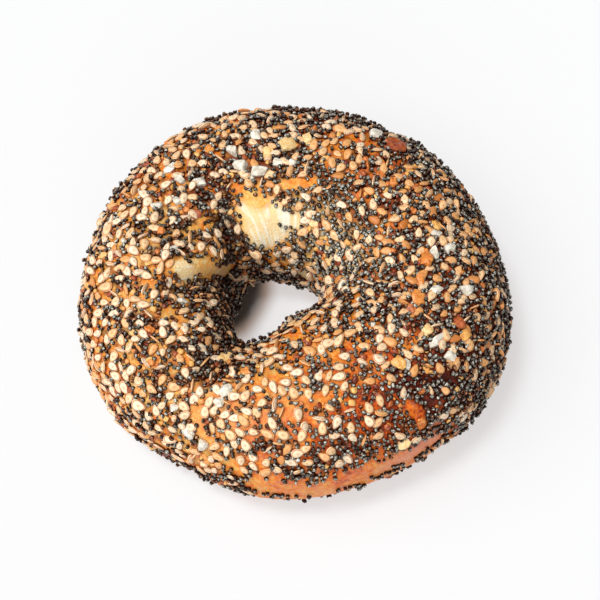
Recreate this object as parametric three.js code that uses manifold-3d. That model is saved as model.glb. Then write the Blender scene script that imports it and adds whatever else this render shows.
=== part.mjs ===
// An everything bagel: a boiled and baked ring of dough with coarse salt, dried onion
// flakes and sesame seeds baked into its skin. All of it is one solid.
// Millimetres, +Z up, +X along the longest width. The flat underside lies on z = 0.

import * as THREE from "three";
import { mergeVertices } from "three/addons/utils/BufferGeometryUtils.js";
import Module from "manifold-3d";

// The ring of dough
const LENGTH = 108.2; // across the ring along X
const WIDTH = 106.8; // across the ring along Y
const HEIGHT = 37; // mean height of the crest
const BELT_HEIGHT = 15.5; // where the side bulges out furthest
const BASE_CUT = 3; // what the flat underside takes off the round section
const PLACE = [-0.4, 0.45]; // moves the whole ring so that the origin is the middle of its box

// A wave makes the ring uneven: times round the ring, share of the size, and where it is
// highest, in degrees
const OUTLINE_WAVES = [
  [2, 0.013, 160],
  [3, 0.012, 345],
  [4, 0.005, 50],
  [5, 0.01, 52],
];
const CREST_WAVES = [
  [1, 0.03, 315],
  [3, 0.02, 300],
];

// The hole, narrow and off the middle, with three rounded corners
const HOLE_RADIUS = 10.8;
const HOLE_CENTRE = [-5.3, -2.6];
const HOLE_WAVES = [
  [2, 0.18, 42],
  [3, 0.155, 0],
];

// How square the section is: 1 is round, less is fuller
const FULLNESS_ACROSS = 0.92;
const FULLNESS_ABOVE = 0.9;
const FULLNESS_BELOW = 0.8;

// Dents in the outer side, where the dough was pinched: turn and half width in degrees, depth
const DENTS = [
  { turn: 240, halfWidth: 13, depth: 1.9 },
  { turn: 60, halfWidth: 5, depth: 1.3 },
];

// Folds in the upper skin, each along a line seen from above: a crease has a negative height
const FOLDS = [
  { from: [-13, 1], to: [-15, 17], halfWidth: 3.2, height: -2.8 },
  { from: [-13, 1], to: [-28, -7.5], halfWidth: 3, height: -2.6 },
  { from: [-13.5, -19], to: [-20, -28], halfWidth: 3.2, height: -2.4 },
  { from: [-17, 4.5], to: [-29, -1], halfWidth: 3.4, height: 1.4 },
  { from: [-8, 14], to: [-3, 17], halfWidth: 5, height: 0.8 },
  { from: [-19, -9], to: [-20, -16], halfWidth: 5, height: 0.9 },
];
const FOLDS_FADE = [7, 16]; // the heights between which the folds grow to their full size

// How finely the skin is divided
const STEPS_ROUND = 72;
const STEPS_ACROSS = 26;

// The toppings, as length, width and thickness, and how far the middle stands above the skin
const SALT = { count: 26, size: [4.4, 3.6, 2.8], lift: 0.3, apart: 7 };
const FLAKE = { count: 30, size: [4.6, 3.4, 1.1], lift: 0.2, apart: 6 };
const SESAME = { count: 125, size: [3.3, 2.1, 1], lift: 0.15, apart: 5 };
const SALT_BARE_BELOW = 16; // crystals and flakes lie on the upper half
const SESAME_BARE_BELOW = 5;
const SIZE_SPREAD = 0.18; // share by which a topping's size varies
const TIP = 0.15; // radians by which a topping leans at most
const ROUGHNESS = 0.2; // share by which a crystal's or flake's corners are moved
const TAPER = 0.22; // how much narrower a sesame seed is at its point
const SEED = 20;

const DEGREE = Math.PI / 180;
const TINY_TURN = 0.002; // radians, the step by which slopes are measured
const AREA_MARGIN = 1.6; // the widest skin against that at the start of the ring

// A random number from 0 to 1, the same run of numbers each time
let randomState = SEED;
function random() {
  randomState = (randomState + 0x6d2b79f5) | 0;
  let mixed = Math.imul(randomState ^ (randomState >>> 15), 1 | randomState);
  mixed = (mixed + Math.imul(mixed ^ (mixed >>> 7), 61 | mixed)) ^ mixed;
  return ((mixed ^ (mixed >>> 14)) >>> 0) / 4294967296;
}

function spread(share) {
  return 1 + share * (2 * random() - 1);
}

function waves(turn, list) {
  return list.reduce(
    (sum, [times, share, crest]) => sum + share * Math.cos(times * (turn - crest * DEGREE)),
    1,
  );
}

function dentDepth(turn) {
  return DENTS.reduce((sum, dent) => {
    const away = Math.atan2(Math.sin(turn - dent.turn * DEGREE), Math.cos(turn - dent.turn * DEGREE));
    return sum + dent.depth * Math.exp(-((away / (dent.halfWidth * DEGREE)) ** 2));
  }, 0);
}

// A power that keeps the sign
function signedPower(value, power) {
  return Math.sign(value) * Math.abs(value) ** power;
}

// The plain ring. turn goes round the ring from +X. lap goes round the section: 0 is the
// outermost point, a quarter turn is the crest and half a turn is in the hole.
function ringPoint(turn, lap) {
  const outline = waves(turn, OUTLINE_WAVES);
  const dent = dentDepth(turn);
  const outerX = ((LENGTH / 2) * outline - dent) * Math.cos(turn);
  const outerY = ((WIDTH / 2) * outline - dent) * Math.sin(turn);
  const hole = HOLE_RADIUS * waves(turn, HOLE_WAVES);
  const innerX = HOLE_CENTRE[0] + hole * Math.cos(turn);
  const innerY = HOLE_CENTRE[1] + hole * Math.sin(turn);
  const share = 0.5 + 0.5 * signedPower(Math.cos(lap), FULLNESS_ACROSS);
  const rise = Math.sin(lap);
  const crest = HEIGHT * waves(turn, CREST_WAVES);
  const z =
    rise > 0
      ? BELT_HEIGHT + (crest - BELT_HEIGHT) * rise ** FULLNESS_ABOVE
      : BELT_HEIGHT - (BELT_HEIGHT + BASE_CUT) * (-rise) ** FULLNESS_BELOW;
  return new THREE.Vector3(
    innerX + (outerX - innerX) * share,
    innerY + (outerY - innerY) * share,
    z,
  );
}

// The direction straight out of a surface that is given as a function of turn and lap
function outward(surface, turn, lap) {
  const along = surface(turn + TINY_TURN, lap).sub(surface(turn - TINY_TURN, lap));
  const across = surface(turn, lap + TINY_TURN).sub(surface(turn, lap - TINY_TURN));
  return along.cross(across).normalize();
}

function distanceToLine(x, y, [startX, startY], [endX, endY]) {
  const [runX, runY] = [endX - startX, endY - startY];
  const along = ((x - startX) * runX + (y - startY) * runY) / (runX ** 2 + runY ** 2);
  const nearest = THREE.MathUtils.clamp(along, 0, 1);
  return Math.hypot(x - startX - nearest * runX, y - startY - nearest * runY);
}

// How far the folds lift or sink the skin at a point of the plain ring
function foldHeight({ x, y, z }) {
  const grown = THREE.MathUtils.smoothstep(z, ...FOLDS_FADE);
  return FOLDS.reduce((sum, fold) => {
    const away = distanceToLine(x, y, fold.from, fold.to);
    return sum + grown * fold.height * Math.exp(-((away / fold.halfWidth) ** 2));
  }, 0);
}

// The finished skin of the dough, flat where it rests
function skinPoint(turn, lap) {
  const point = ringPoint(turn, lap);
  point.addScaledVector(outward(ringPoint, turn, lap), foldHeight(point));
  point.set(point.x + PLACE[0], point.y + PLACE[1], Math.max(point.z, 0));
  return point;
}

// Only positions are kept, and corners that meet become one
function closed(geometry) {
  geometry.deleteAttribute("normal");
  geometry.deleteAttribute("uv");
  return mergeVertices(geometry, 1e-4);
}

function doughGeometry() {
  const geometry = new THREE.TorusGeometry(2, 1, STEPS_ACROSS, STEPS_ROUND);
  const position = geometry.attributes.position;
  const uv = geometry.attributes.uv;
  for (let i = 0; i < position.count; i += 1) {
    const point = skinPoint((uv.getX(i) % 1) * 2 * Math.PI, (uv.getY(i) % 1) * 2 * Math.PI);
    position.setXYZ(i, point.x, point.y, point.z);
  }
  return closed(geometry);
}

// Moves every corner of a closed shape a little, so that no two pieces are alike
function roughened(geometry) {
  const corners = geometry.attributes.position.array;
  for (let i = 0; i < corners.length; i += 1) corners[i] *= spread(ROUGHNESS);
  return geometry;
}

// Every topping is made one unit in radius, lying in the XY plane, with X its long way

function saltGeometry() {
  return roughened(closed(new THREE.IcosahedronGeometry(1, 0)));
}

function flakeGeometry() {
  const geometry = closed(new THREE.CylinderGeometry(1, 0.8, 2, 5));
  geometry.rotateX(Math.PI / 2);
  return roughened(geometry);
}

// A flat drop, pointed at one end
function sesameGeometry() {
  const geometry = closed(new THREE.SphereGeometry(1, 5, 3));
  geometry.rotateZ(-Math.PI / 2);
  const position = geometry.attributes.position;
  for (let i = 0; i < position.count; i += 1) {
    const taper = 1 - TAPER * position.getX(i);
    position.setXYZ(i, position.getX(i), position.getY(i) * taper, position.getZ(i) * taper);
  }
  return geometry;
}

// The area of skin for each step of turn and lap, by which places are drawn
function areaAt(turn, lap) {
  const along = skinPoint(turn + TINY_TURN, lap).sub(skinPoint(turn - TINY_TURN, lap));
  const across = skinPoint(turn, lap + TINY_TURN).sub(skinPoint(turn, lap - TINY_TURN));
  return along.cross(across).length() / (2 * TINY_TURN) ** 2;
}

const LARGEST_AREA = areaAt(0, 0) * AREA_MARGIN;

// Draws places for one kind of topping, clear of all that are there already
function drawPlaces(taken, topping, bareBelow) {
  const places = [];
  while (places.length < topping.count) {
    const turn = random() * 2 * Math.PI;
    const lap = random() * 2 * Math.PI;
    const chance = random();
    const point = skinPoint(turn, lap);
    const apart = topping.apart / 2;
    const free = taken.every((other) => other.point.distanceTo(point) > other.apart + apart);
    if (point.z > bareBelow && chance < areaAt(turn, lap) / LARGEST_AREA && free) {
      const place = { point, turn, lap, apart };
      places.push(place);
      taken.push(place);
    }
  }
  return places;
}

// Lays a topping on the skin, turned any way and tipped a little
function laidDown(geometry, topping, { point, turn, lap }) {
  const [long, wide, thick] = topping.size.map((size) => (size / 2) * spread(SIZE_SPREAD));
  const facing = outward(skinPoint, turn, lap);
  const turned = new THREE.Quaternion().setFromUnitVectors(new THREE.Vector3(0, 0, 1), facing);
  const spin = new THREE.Quaternion().setFromEuler(
    new THREE.Euler(spread(TIP) - 1, spread(TIP) - 1, random() * 2 * Math.PI, "ZXY"),
  );
  const seat = point.clone().addScaledVector(facing, topping.lift);
  const placed = new THREE.Matrix4().compose(
    seat,
    turned.multiply(spin),
    new THREE.Vector3(long, wide, thick),
  );
  return geometry.applyMatrix4(placed);
}

function toppings() {
  const taken = [];
  const kinds = [
    [SALT, saltGeometry, SALT_BARE_BELOW],
    [FLAKE, flakeGeometry, SALT_BARE_BELOW],
    [SESAME, sesameGeometry, SESAME_BARE_BELOW],
  ];
  return kinds.flatMap(([topping, shape, bareBelow]) =>
    drawPlaces(taken, topping, bareBelow).map((place) => laidDown(shape(), topping, place)),
  );
}

const wasm = await Module();
wasm.setup();

function solidOf(geometry) {
  return new wasm.Manifold(
    new wasm.Mesh({
      numProp: 3,
      vertProperties: new Float32Array(geometry.attributes.position.array),
      triVerts: new Uint32Array(geometry.index.array),
    }),
  );
}

function geometryOf(solid) {
  const { vertProperties, triVerts } = solid.getMesh();
  const geometry = new THREE.BufferGeometry();
  geometry.setAttribute("position", new THREE.BufferAttribute(vertProperties, 3));
  geometry.setIndex(new THREE.BufferAttribute(triVerts, 1));
  geometry.computeVertexNormals();
  return geometry;
}

// Dough and toppings joined. The largest body is the bagel: it leaves out any loose scrap
// and fills any hollow that two toppings seal between them.
function bagelSolid() {
  const joined = toppings().reduce(
    (whole, topping) => whole.add(solidOf(topping)),
    solidOf(doughGeometry()),
  );
  return joined.decompose().reduce((a, b) => (a.volume() > b.volume() ? a : b));
}

const bagel = new THREE.Mesh(
  geometryOf(bagelSolid()),
  new THREE.MeshStandardMaterial({ color: 0xb9803f, roughness: 0.6, metalness: 0 }),
);
bagel.name = "bagel";

const group = new THREE.Group();
group.add(bagel);

export default group;
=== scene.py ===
# %% [markdown]
# # An everything bagel
# The real bagel is a ring of dough that was shaped by hand, boiled, rolled in seeds and
# baked. This lesson dresses a plain solid ring: the dough is made again with a fine skin,
# and then its toppings are scattered over it, each kind as real little solids.
# The first cell loads the solid ring, which fixes every size and place.

# %% Load the frame
import math

import bmesh
import bpy
import numpy as np
from mathutils import Matrix, Vector, noise
from mathutils.bvhtree import BVHTree
from mathutils.kdtree import KDTree


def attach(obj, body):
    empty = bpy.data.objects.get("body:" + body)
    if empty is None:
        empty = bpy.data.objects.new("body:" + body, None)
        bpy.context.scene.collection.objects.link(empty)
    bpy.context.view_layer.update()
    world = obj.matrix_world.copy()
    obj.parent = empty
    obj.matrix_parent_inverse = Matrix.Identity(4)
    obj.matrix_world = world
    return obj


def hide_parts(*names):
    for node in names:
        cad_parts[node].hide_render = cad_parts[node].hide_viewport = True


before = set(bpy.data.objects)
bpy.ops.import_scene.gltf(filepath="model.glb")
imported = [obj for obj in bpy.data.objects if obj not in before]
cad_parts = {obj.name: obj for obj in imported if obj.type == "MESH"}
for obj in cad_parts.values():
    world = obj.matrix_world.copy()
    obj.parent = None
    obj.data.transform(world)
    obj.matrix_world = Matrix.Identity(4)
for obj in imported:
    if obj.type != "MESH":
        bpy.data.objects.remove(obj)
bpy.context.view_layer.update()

# %% [markdown]
# ## Camera
# The photo looks down at the bagel at a steep angle through a long lens, so the ring's
# near and far sides are almost alike in size. The camera comes first because many
# toppings are placed by the pixel at which the photo shows them: a ray from the camera
# through that pixel finds the spot on the dough. All lengths are in millimetres until a
# mesh is made.

# %% Camera
MM = 0.001  # metres in a millimetre, as Blender's own unit is the metre
PHOTO_SIDE = 600  # pixels
LENS = 100
SENSOR = 36
ELEVATION = math.radians(65)
DISTANCE = 430
LOOK_AT = np.array([1.535, 0.684, 14.1])

TOWARDS_CAMERA = np.array([0, -math.cos(ELEVATION), math.sin(ELEVATION)])
PICTURE_RIGHT = np.array([1.0, 0, 0])
PICTURE_UP = np.cross(TOWARDS_CAMERA, PICTURE_RIGHT)
CAMERA_PLACE = LOOK_AT + DISTANCE * TOWARDS_CAMERA


def add_object(name, data):
    made = bpy.data.objects.new(name, data)
    bpy.context.scene.collection.objects.link(made)
    return made


camera = add_object("camera", bpy.data.cameras.new("camera"))
camera.data.lens = LENS
camera.data.sensor_width = SENSOR
camera.location = Vector(CAMERA_PLACE * MM)
camera.rotation_euler = (math.pi / 2 - ELEVATION, 0, 0)
bpy.context.scene.camera = camera
print("camera at", CAMERA_PLACE.round(1), "mm")

# %% [markdown]
# ## The ring of dough
# A hand-shaped ring is never even: it is wider one way, higher on one side, its hole is
# off the middle and has three corners, and folds run into the hole where the ends of the
# dough were joined. Sculpting by hand would do, but a formula can be repeated exactly, so
# the skin is worked out from two angles. `turn` goes round the ring, and `lap` goes round
# its section, from the outermost point over the crest into the hole. The values are those
# of the solid ring.

# %% Values of the ring
LENGTH = 108.2  # across the ring along X
WIDTH = 106.8  # across the ring along Y
HEIGHT = 37  # mean height of the crest
BELT_HEIGHT = 15.5  # where the side bulges out furthest
BASE_CUT = 3  # what the flat underside takes off the round section
PLACE = np.array([-0.4, 0.45, 0])  # moves the ring so that the origin is the middle of its box
# Times round the ring, share of the size, and where the wave is highest in degrees
OUTLINE_WAVES = [(2, 0.013, 160), (3, 0.012, 345), (4, 0.005, 50), (5, 0.01, 52)]
CREST_WAVES = [(1, 0.03, 315), (3, 0.02, 300)]
HOLE_RADIUS = 10.8
HOLE_CENTRE = (-5.3, -2.6)
HOLE_WAVES = [(2, 0.18, 42), (3, 0.155, 0)]
# How square the section is: 1 is round, less is fuller
FULLNESS_ACROSS = 0.92
FULLNESS_ABOVE = 0.9
FULLNESS_BELOW = 0.8
# Pinches in the outer side: turn and half width in degrees, depth
DENTS = [(240, 13, 1.9), (60, 5, 1.3)]
# Folds in the upper skin: the line seen from above, half width, and height
FOLDS = [
    ((-13, 1), (-15, 17), 3.2, -2.8),
    ((-13, 1), (-28, -7.5), 3, -2.6),
    ((-13.5, -19), (-20, -28), 3.2, -2.4),
    ((-17, 4.5), (-29, -1), 3.4, 1.4),
    ((-8, 14), (-3, 17), 5, 0.8),
    ((-19, -9), (-20, -16), 5, 0.9),
]
FOLDS_FADE = (7, 16)  # the heights between which the folds grow to their full size
TINY_TURN = 0.002  # radians, the step by which slopes are measured


# %% Formulas of the ring
def waves(turn, rows):
    return 1 + sum(share * np.cos(times * (turn - math.radians(crest))) for times, share, crest in rows)


def signed_power(value, power):
    return np.sign(value) * np.abs(value) ** power


def smooth_step(value, low, high):
    share = np.clip((value - low) / (high - low), 0, 1)
    return share * share * (3 - 2 * share)


def ring_points(turn, lap):
    """The plain ring, one row of x, y and z for each pair of angles."""
    dent = 0
    for middle, half_width, depth in DENTS:
        away = np.angle(np.exp(1j * (turn - math.radians(middle))))
        dent = dent + depth * np.exp(-((away / math.radians(half_width)) ** 2))
    outline = waves(turn, OUTLINE_WAVES)
    outer_x = (LENGTH / 2 * outline - dent) * np.cos(turn)
    outer_y = (WIDTH / 2 * outline - dent) * np.sin(turn)
    hole = HOLE_RADIUS * waves(turn, HOLE_WAVES)
    inner_x = HOLE_CENTRE[0] + hole * np.cos(turn)
    inner_y = HOLE_CENTRE[1] + hole * np.sin(turn)
    share = 0.5 + 0.5 * signed_power(np.cos(lap), FULLNESS_ACROSS)
    rise = np.sin(lap)
    crest = HEIGHT * waves(turn, CREST_WAVES)
    above = (crest - BELT_HEIGHT) * np.maximum(rise, 0) ** FULLNESS_ABOVE
    below = (BELT_HEIGHT + BASE_CUT) * np.maximum(-rise, 0) ** FULLNESS_BELOW
    x = inner_x + (outer_x - inner_x) * share
    y = inner_y + (outer_y - inner_y) * share
    return np.stack([x, y, BELT_HEIGHT + above - below], axis=1)


def line_distance(points, start, end):
    """How far each point is from the straight line between two points."""
    start, run = np.asarray(start, float), np.subtract(end, start).astype(float)
    along = np.clip((points - start) @ run / max(run @ run, 1e-9), 0, 1)
    return np.linalg.norm(points - start - along[:, None] * run, axis=1)


def skin_points(turn, lap):
    """The smooth skin of the dough with its folds."""
    points = ring_points(turn, lap)
    along = ring_points(turn + TINY_TURN, lap) - ring_points(turn - TINY_TURN, lap)
    across = ring_points(turn, lap + TINY_TURN) - ring_points(turn, lap - TINY_TURN)
    outward = np.cross(along, across)
    outward /= np.linalg.norm(outward, axis=1, keepdims=True)
    grown = smooth_step(points[:, 2], *FOLDS_FADE)
    fold = sum(
        grown * height * np.exp(-((line_distance(points[:, :2], start, end) / half_width) ** 2))
        for start, end, half_width, height in FOLDS
    )
    return points + outward * fold[:, None] + PLACE


# %% [markdown]
# A circle that is spun round the middle gives the mesh of the ring, a plain tyre, with
# its ends merged. Each corner of that tyre has a turn and a lap, and the formulas move it
# to its place on the dough. The skin is divided finely, about half a millimetre, because
# wrinkles and stretch marks are shaped in it next.

# %% Spin the dough
STEPS_ROUND = 520
STEPS_ACROSS = 156
TYRE_RADIUS = 2  # of the plain tyre, whose section has a radius of 1
BASE_LIFT = 0.35  # the baked underside stands on its seeds by this much


def spun_tyre():
    tyre = bmesh.new()
    bmesh.ops.create_circle(tyre, segments=STEPS_ACROSS, radius=1)
    bmesh.ops.rotate(tyre, verts=tyre.verts, matrix=Matrix.Rotation(math.pi / 2, 3, "X"))
    bmesh.ops.translate(tyre, verts=tyre.verts, vec=(TYRE_RADIUS, 0, 0))
    bmesh.ops.spin(
        tyre, geom=tyre.verts[:] + tyre.edges[:], axis=(0, 0, 1), cent=(0, 0, 0),
        angle=2 * math.pi, steps=STEPS_ROUND, use_merge=True,
    )
    bmesh.ops.remove_doubles(tyre, verts=tyre.verts, dist=1e-5)
    bmesh.ops.recalc_face_normals(tyre, faces=tyre.faces)
    mesh = bpy.data.meshes.new("dough")
    tyre.to_mesh(mesh)
    tyre.free()
    return mesh


def corner_rows(mesh, kind="co"):
    rows = np.zeros(len(mesh.vertices) * 3, np.float32)
    mesh.vertices.foreach_get(kind, rows)
    return rows.reshape(-1, 3).astype(float)


def set_corners(mesh, places):
    """Moves the mesh's corners to places that are given in millimetres."""
    mesh.vertices.foreach_set("co", (places * MM).astype(np.float32).ravel())
    mesh.update()


dough_mesh = spun_tyre()
tyre_x, tyre_y, tyre_z = corner_rows(dough_mesh).T
TURN = np.arctan2(tyre_y, tyre_x)
LAP = np.arctan2(tyre_z, np.hypot(tyre_x, tyre_y) - TYRE_RADIUS)
smooth_skin = skin_points(TURN, LAP)
smooth_skin[:, 2] = np.maximum(smooth_skin[:, 2], BASE_LIFT)
set_corners(dough_mesh, smooth_skin)
print("dough has", len(dough_mesh.vertices), "corners and", len(dough_mesh.polygons), "faces")

# %% [markdown]
# ## Finding a pixel on the dough
# The photo shows smooth pale places, dark drifts of poppy seed and single salt crystals.
# To put them where they belong, a ray is cast from the camera through their pixel, and
# what it hits is the spot. From then on the spot belongs to the dough, so it is right
# from every side. `near` turns a line of such pixels into a soft mask on the skin. Lines
# are kept as rows: x, y, x, y and so on, then the reach in millimetres, and in most
# tables last how much the line counts for.

# %% Pixels to places
FACES = np.array([face.vertices[:] for face in dough_mesh.polygons])
RAY_STEPS = range(DISTANCE - 60, DISTANCE + 60, 3)  # millimetres from the camera, through the bagel


def skin_tree(places):
    return BVHTree.FromPolygons(places.tolist(), FACES.tolist())


def seen_at(pixel, tree):
    """The place on the skin, and the direction out of it, that the photo shows at a pixel."""
    focal = LENS / SENSOR * PHOTO_SIDE
    ray = PICTURE_RIGHT * (pixel[0] - PHOTO_SIDE / 2) + PICTURE_UP * (PHOTO_SIDE / 2 - pixel[1])
    ray = ray / focal - TOWARDS_CAMERA
    place, outward, _, _ = tree.ray_cast(Vector(CAMERA_PLACE), Vector(ray))
    if place is None:  # just outside the outline, so the skin that the ray passes closest to
        passed = [tree.find_nearest(Vector(CAMERA_PLACE + far * ray)) for far in RAY_STEPS]
        place, outward, _, _ = min(passed, key=lambda row: row[3])
    return np.array(place), np.array(outward)


smooth_tree = skin_tree(smooth_skin)


def near(places, line, reach, edge=2):
    """1 along a line of photo pixels on the skin, fading to 0 past its reach."""
    spots = [seen_at(pixel, smooth_tree)[0] for pixel in zip(line[::2], line[1::2])]
    gaps = [line_distance(places, start, end) for start, end in zip(spots, spots[1:])]
    return np.exp(-((np.min(gaps, axis=0) / reach) ** edge))


def mask(places, rows, edge=4):
    """1 near any of the rows, which end with their reach, and 0 elsewhere."""
    return np.max([near(places, line, reach, edge) for *line, reach in rows], axis=0)


def layers(places, rows):
    """One mask for each row, which ends with its reach and with how much it counts for."""
    return [amount * near(places, line, reach) for *line, reach, amount in rows]


def ripple(places, size, shift=0):
    """Smooth noise from -1 to 1 at each place, its lumps about this many millimetres wide."""
    return np.array([noise.noise(Vector(place)) for place in (places / size + shift).tolist()])


print("the middle of the photo's pale patch is at", seen_at((264, 214), smooth_tree)[0].round(1))

# %% [markdown]
# ## Where the skin is bare
# Seeds stick only where the boiled dough was tacky and not stretched since. The photo has
# bare skin in a few places, each given here as rows of pixels with their reach: the pale
# stretched patch above the hole, a pale band left of it, the smooth belt along the front,
# where the bagel touched its neighbour, and some small smooth, bubbled or charred spots.

# %% Bare places
SEEDLESS = {
    "stretched": [
        (250, 206, 264, 236, 4.6), (266, 212, 272, 230, 4.6), (276, 214, 294, 222, 2),
    ],
    "band": [
        (183, 267, 189, 275, 2.5), (199, 267, 229, 271, 2.7), (298, 272, 306, 279, 1.5),
    ],
    "belt": [
        (262, 486, 290, 490, 325, 488, 5.0), (325, 486, 353, 479, 380, 469, 4.8),
        (380, 469, 405, 457, 432, 442, 3.4),
        (266, 500, 300, 504, 335, 500, 380, 484, 425, 459, 445, 445, 3.9),
    ],
    "gold": [
        (284, 184, 312, 182, 1.6), (192, 228, 204, 222, 1.3), (194, 412, 203, 436, 1.8),
        (226, 462, 238, 474, 1.7),
    ],
    "bubbled": [(414, 406, 423, 425, 1.6)],
    "charred": [(445, 374, 455, 380, 1.5), (427, 398, 433, 402, 1.5)],
}
MAHOGANY = SEEDLESS["charred"] + [
    (405, 374, 432, 392, 4), (440, 385, 462, 380, 4), (380, 300, 384, 308, 1.6),
]
patches = {name: mask(smooth_skin, rows) for name, rows in SEEDLESS.items()}
mahogany = mask(smooth_skin, MAHOGANY, edge=2)
print("bare share of the skin", {name: round(float(patch.mean()), 4) for name, patch in patches.items()})


def bare_share(places):
    return mask(places, sum(SEEDLESS.values(), []))


# %% [markdown]
# ## Relief of the skin
# Close up, baked skin has broad soft lumps, finer wrinkles, stretch marks that run into
# the hole on the pale patch, long fine lines along the belt, and little blisters. They
# could be painted as bump, but then the outline and the mesh itself would be smooth, so
# they are moved into the mesh. Bump adds only what is finer than the mesh.

# %% Relief
SECTION_RADIUS = 18  # roughly, to turn a lap into millimetres
RING_RADIUS = 35  # roughly, to turn a turn into millimetres
LUMPS = [(10, 0.3), (4.2, 0.16), (1.9, 0.15)]  # width and height of each layer of lumps
LUMPS_LOST = 0.55  # share of the lumps that stretching smooths away
STRETCH_MARK = (1.7, 9, 0.12)  # across and along the mark, and its height
MARKS_LEAN = 0.6  # how far they run round the ring for each millimetre across it
FINER_MARKS = 0.5  # how high the marks of half that width are, as a share
BAND_MARKS = 0.5  # how high they are on the pale band, as a share
BELT_LINE = (9, 0.75, 0.07)  # along the belt, across it, and height
LINES_ELSEWHERE = 0.25
BLISTER_SIZE = 1.5
BLISTER_HEIGHT = 0.6
BLISTERS_ELSEWHERE = 0.12
SEED_ROOM = 0.65  # the solid ring's skin lies among its seeds, so the bare skin is this much lower
BELT_NEEDS_LESS = 0.6  # share of that room that the seedless belt fills
BASE_RELIEF = 0.3  # share of the relief that the flat underside keeps, and its limit


def stretched_ripple(along_turn, along_lap, shift, lean=0):
    """Noise that is drawn out along the ring or across it."""
    round_mm, across_mm = TURN * RING_RADIUS, LAP * SECTION_RADIUS
    spots = [(round_mm + lean * across_mm) / along_turn, across_mm / along_lap, shift + 0 * TURN]
    return ripple(np.stack(spots, axis=1), 1)


def blisters(places, width=0.62):
    gaps = np.array([noise.voronoi(Vector(place))[0][0] for place in (places / BLISTER_SIZE).tolist()])
    return np.maximum(0, 1 - (gaps / width) ** 2)


stretched = np.maximum(patches["stretched"], patches["band"])
relief = sum(height * ripple(smooth_skin, width, shift=width) for width, height in LUMPS)
relief *= 1 - LUMPS_LOST * stretched
across, along, height = STRETCH_MARK
stretch_marks = stretched_ripple(across, along, 3, MARKS_LEAN)
stretch_marks += FINER_MARKS * stretched_ripple(across / 2, along, 8, MARKS_LEAN)
marked = height * stretch_marks
relief += marked * patches["stretched"] + BAND_MARKS * marked * patches["band"]
along, across, height = BELT_LINE
relief += height * stretched_ripple(along, across, 5) * np.maximum(patches["belt"], LINES_ELSEWHERE)
relief += BLISTER_HEIGHT * blisters(smooth_skin) * (patches["bubbled"] + BLISTERS_ELSEWHERE)

room = SEED_ROOM * (1 - BELT_NEEDS_LESS * patches["belt"])
skin = smooth_skin + corner_rows(dough_mesh, "normal") * (relief - room)[:, None]
skin[:, 2] = np.maximum(skin[:, 2], BASE_LIFT + BASE_RELIEF * np.minimum(relief, BASE_RELIEF))
set_corners(dough_mesh, skin)
dough_mesh.shade_smooth()
skin_normals = corner_rows(dough_mesh, "normal")
tree = skin_tree(skin)
print("relief from", relief.min().round(2), "to", relief.max().round(2), "mm")

# %% [markdown]
# ## How dark the dough is baked
# The oven colours the dough unevenly: the stretched patch stays cream, the left half is
# yellow-gold, the front is orange, and thin blistered skin at the lower right is almost
# black-red. The crease left of the pale patch and the end of the pale band are darkened as
# painted shade. Each corner of the mesh gets these as numbers, and the material reads them.

# %% Baking
BAKE_MEAN = 0.52
BAKE_MOTTLES = [(16, 0.1), (6, 0.12), (2.4, 0.14)]  # width and amount
# The rows from 222, 192 and from 236, 262 are painted shade, in the crease left of the pale patch and at the
# end of the pale band.
BAKE_AND_SHADE_DRIFTS = [
    (130, 250, 140, 360, 26, -0.16), (84, 250, 82, 330, 9, 0.06), (200, 230, 240, 180, 12, -0.12),
    (350, 235, 300, 262, 11, -0.2), (340, 440, 400, 410, 12, 0.12), (205, 440, 260, 400, 12, -0.16),
    (330, 484, 380, 468, 5, -0.03), (440, 300, 450, 380, 15, 0.16), (385, 405, 430, 420, 10, 0.08),
    (412, 402, 424, 424, 4, -0.16), (252, 482, 292, 492, 6, -0.03), (302, 228, 338, 262, 8, -0.2),
    (222, 192, 230, 214, 232, 240, 3, 0.32), (270, 440, 330, 450, 14, 0.08),
    (385, 165, 395, 190, 7, 0.22), (246, 196, 262, 200, 4, -0.03), (240, 216, 246, 246, 4, -0.4),
    (196, 262, 230, 270, 4, -0.2), (236, 262, 242, 276, 3, 0.1),
]
MAHOGANY_BAKE = 0.5
UNDER_BAKE = 0.12
UNDER_SLOPE = (0.5, 0.95)  # how far down the skin faces where that starts and where it is full
GOLDEN_EDGES = [(244, 194, 260, 200, 3, 1), (239, 222, 245, 246, 2, 0.8)]
GOLDEN_BAND = [(200, 264, 234, 268, 2)]
LESS_PALE = [(206, 275, 234, 279, 2.4, 0.5)]
PALE_AMONG_SEEDS = [(304, 222, 345, 258, 318, 280, 8, 0.5)]
ROSE_TINTS = [
    (395, 466, 410, 456, 440, 430, 462, 405, 4.5, 1), (215, 420, 265, 430, 8, 0.42),
    (290, 490, 330, 490, 375, 474, 5, 0.14),
]
BAND_STREAKS_LOST = 0.3


def keep(mesh, name, values):
    """Gives each corner of a mesh a number or a vector of its own, which its material can read."""
    kind, key = ("FLOAT", "value") if values.ndim == 1 else ("FLOAT_VECTOR", "vector")
    attribute = mesh.attributes.new(name, kind, "POINT")
    attribute.data.foreach_set(key, values.astype(np.float32).ravel())


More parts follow.
